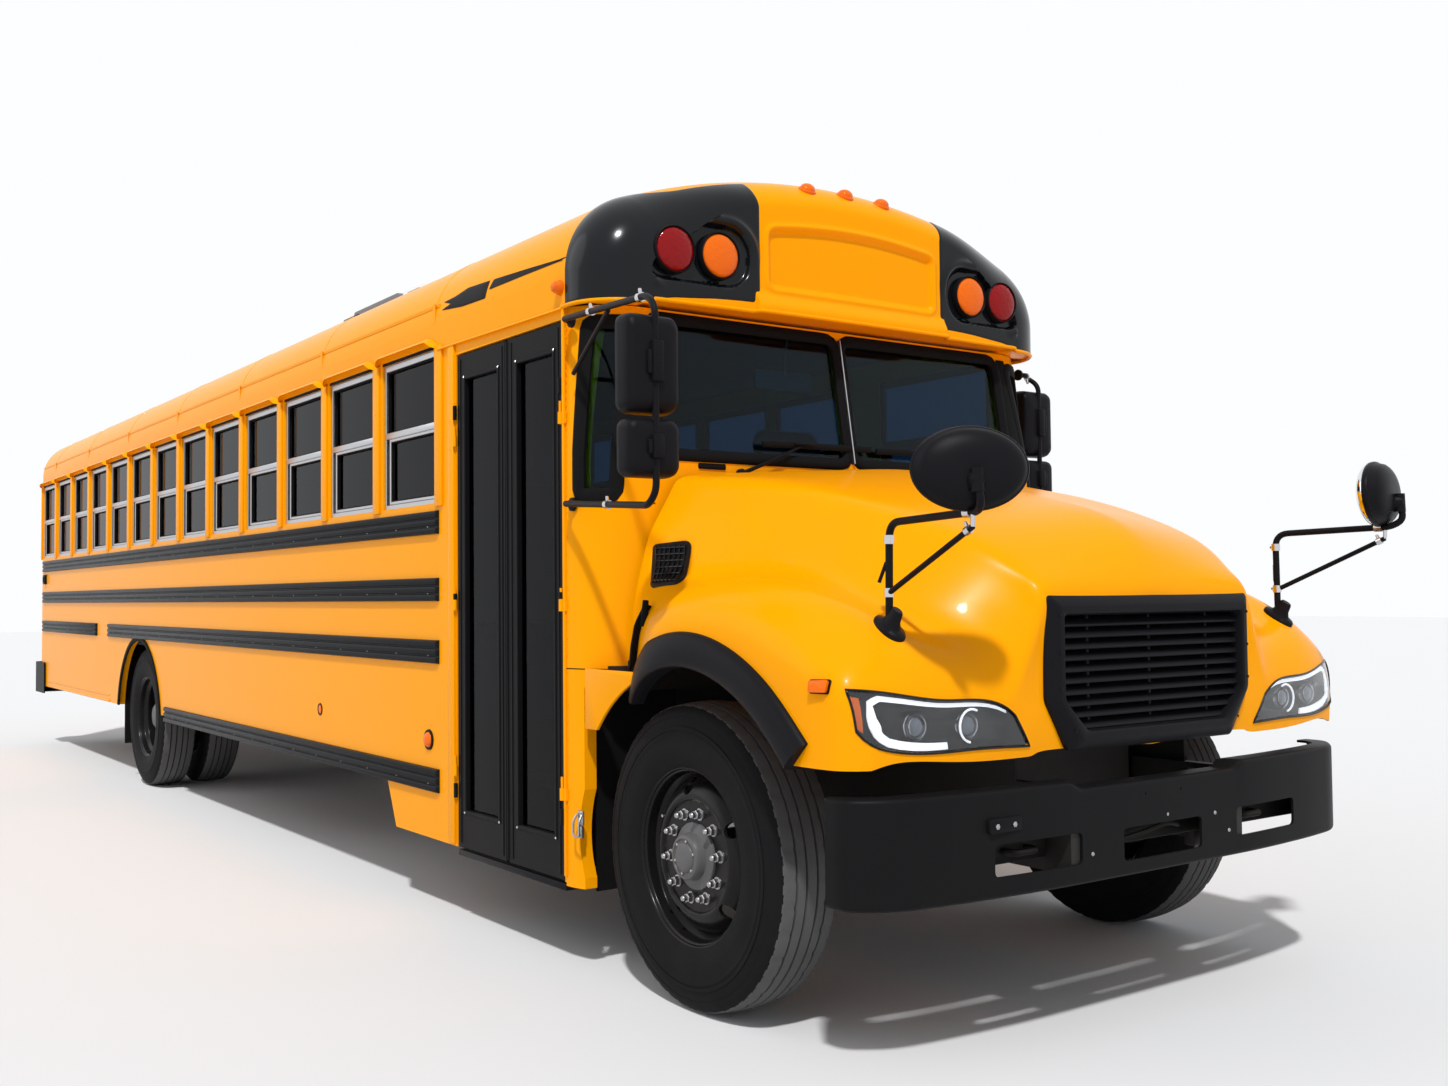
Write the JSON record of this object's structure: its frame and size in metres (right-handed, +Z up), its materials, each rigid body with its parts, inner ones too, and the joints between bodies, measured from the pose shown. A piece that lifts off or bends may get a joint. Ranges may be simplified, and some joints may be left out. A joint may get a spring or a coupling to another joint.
{
  "type": "school bus",
  "caption": "Long yellow conventional school bus with a tilting hood, a two-leaf entrance door, an emergency door, a roof hatch, a folding stop arm and twin rear wheels.",
  "frame": {"origin": "on the ground, below the middle of the overall box", "axes": "+X towards the front of the bus, +Y towards its left side, +Z up"},
  "size_m": [12.451, 2.96, 3.2484],
  "materials": {
    "body_yellow": "glossy enamel",
    "black_paint": "satin",
    "cap_black": "glossy, with black lamp and sign panels",
    "dark_glass": "tinted",
    "aluminium_frame": "satin",
    "floor_rubber": "ribbed matte",
    "seat_vinyl": "grained vinyl",
    "dash_plastic": "matte",
    "chassis_paint": "semi-gloss",
    "cast_block": "cast",
    "plain_steel": "dull",
    "tyre_rubber": "matte",
    "wheel_black": "semi-gloss",
    "lamp_clear": "clear moulded",
    "lamp_red": "moulded lens",
    "white_plastic": "gloss",
    "sign_red": "semi-gloss",
    "flap_rubber": "matte"
  },
  "bodies": {
    "bus": {"roof_shell": "body_yellow", "rear_wall": "body_yellow", "right_wall": "body_yellow", "left_wall": "body_yellow", "cowl": "body_yellow", "rub_rails": "black_paint", "front_bumper": "black_paint", "rear_bumper": "black_paint", "side_mirrors": "black_paint", "front_cap": "cap_black", "window_glass_right": "dark_glass", "window_glass_left": "dark_glass", "rear_windows": "dark_glass", "windshield": "dark_glass", "window_frames": "aluminium_frame", "body_floor": "floor_rubber", "entrance_treads": "floor_rubber", "seats": "seat_vinyl", "dashboard": "dash_plastic", "frame_rails": "chassis_paint", "cross_members": "chassis_paint", "floor_sills": "chassis_paint", "step_ends": "chassis_paint", "drive_shaft": "chassis_paint", "front_axle": "chassis_paint", "rear_axle": "chassis_paint", "leaf_springs": "chassis_paint", "engine_block": "cast_block", "fuel_tank": "plain_steel", "exhaust": "plain_steel", "signal_lamps": "lamp_red", "roof_units": "white_plastic", "mud_flaps": "flap_rubber"},
    "front_wheel_right": {"front_tyre_right": "tyre_rubber", "front_wheel_right": "wheel_black"},
    "front_wheel_left": {"front_tyre_left": "tyre_rubber", "front_wheel_left": "wheel_black"},
    "rear_wheels_right": {"rear_tyres_right": "tyre_rubber", "rear_wheels_right": "wheel_black"},
    "rear_wheels_left": {"rear_tyres_left": "tyre_rubber", "rear_wheels_left": "wheel_black"},
    "knuckle_right": {"knuckle_right": "chassis_paint"},
    "knuckle_left": {"knuckle_left": "chassis_paint"},
    "hood": {"hood_shell": "body_yellow", "grille": "dash_plastic", "headlamps": "lamp_clear", "crossing_mirrors": "black_paint"},
    "entrance_leaf_front": {"door_leaf_front": "black_paint", "door_glass_front": "dark_glass"},
    "entrance_leaf_rear": {"door_leaf_rear": "black_paint", "door_glass_rear": "dark_glass"},
    "emergency_door": {"rear_door": "body_yellow", "rear_door_glass": "dark_glass"},
    "roof_hatch": {"roof_hatch": "white_plastic"},
    "stop_arm": {"stop_arm": "sign_red"}
  },
  "joints": [
    {"name": "steer_left", "type": "hinge", "parent": "bus", "child": "knuckle_left", "pos_m": [4.93447, 0.9, 0.509], "axis": [0, 0, 1], "range_deg": [-35, 35]},
    {"name": "steer_right", "type": "hinge", "parent": "bus", "child": "knuckle_right", "pos_m": [4.93447, -0.9, 0.509], "axis": [0, 0, 1], "range_deg": [-35, 35]},
    {"name": "roll_front_left", "type": "hinge", "parent": "knuckle_left", "child": "front_wheel_left", "pos_m": [4.93447, 1.02, 0.509], "axis": [0, 1, 0], "continuous": true},
    {"name": "roll_front_right", "type": "hinge", "parent": "knuckle_right", "child": "front_wheel_right", "pos_m": [4.93447, -1.02, 0.509], "axis": [0, 1, 0], "continuous": true},
    {"name": "roll_rear_left", "type": "hinge", "parent": "bus", "child": "rear_wheels_left", "pos_m": [-2.21553, 0.87, 0.509], "axis": [0, 1, 0], "continuous": true},
    {"name": "roll_rear_right", "type": "hinge", "parent": "bus", "child": "rear_wheels_right", "pos_m": [-2.21553, -0.87, 0.509], "axis": [0, 1, 0], "continuous": true},
    {"name": "hood_tilt", "type": "hinge", "parent": "bus", "child": "hood", "pos_m": [5.85447, 0, 0.72], "axis": [0, 1, 0], "range_deg": [0, 55]},
    {"name": "entrance_front", "type": "hinge", "parent": "bus", "child": "entrance_leaf_front", "pos_m": [4.22147, -1.2095, 1.364], "axis": [0, 0, 1], "range_deg": [0, 90]},
    {"name": "entrance_rear", "type": "hinge", "parent": "bus", "child": "entrance_leaf_rear", "pos_m": [3.30247, -1.2095, 1.364], "axis": [0, 0, -1], "range_deg": [0, 90]},
    {"name": "emergency_door_swing", "type": "hinge", "parent": "bus", "child": "emergency_door", "pos_m": [-6.13503, -0.467, 1.764], "axis": [0, 0, 1], "range_deg": [0, 110]},
    {"name": "hatch_lift", "type": "hinge", "parent": "bus", "child": "roof_hatch", "pos_m": [-2.02053, 0, 3.084], "axis": [0, 1, 0], "range_deg": [0, 80]},
    {"name": "stop_arm_swing", "type": "hinge", "parent": "bus", "child": "stop_arm", "pos_m": [3.74447, 1.236, 1.38], "axis": [0, 0, -1], "range_deg": [0, 90]}
  ],
  "couplings": [
    {"joint": "steer_right", "follows": "steer_left", "ratio": 1},
    {"joint": "entrance_rear", "follows": "entrance_front", "ratio": 1}
  ]
}
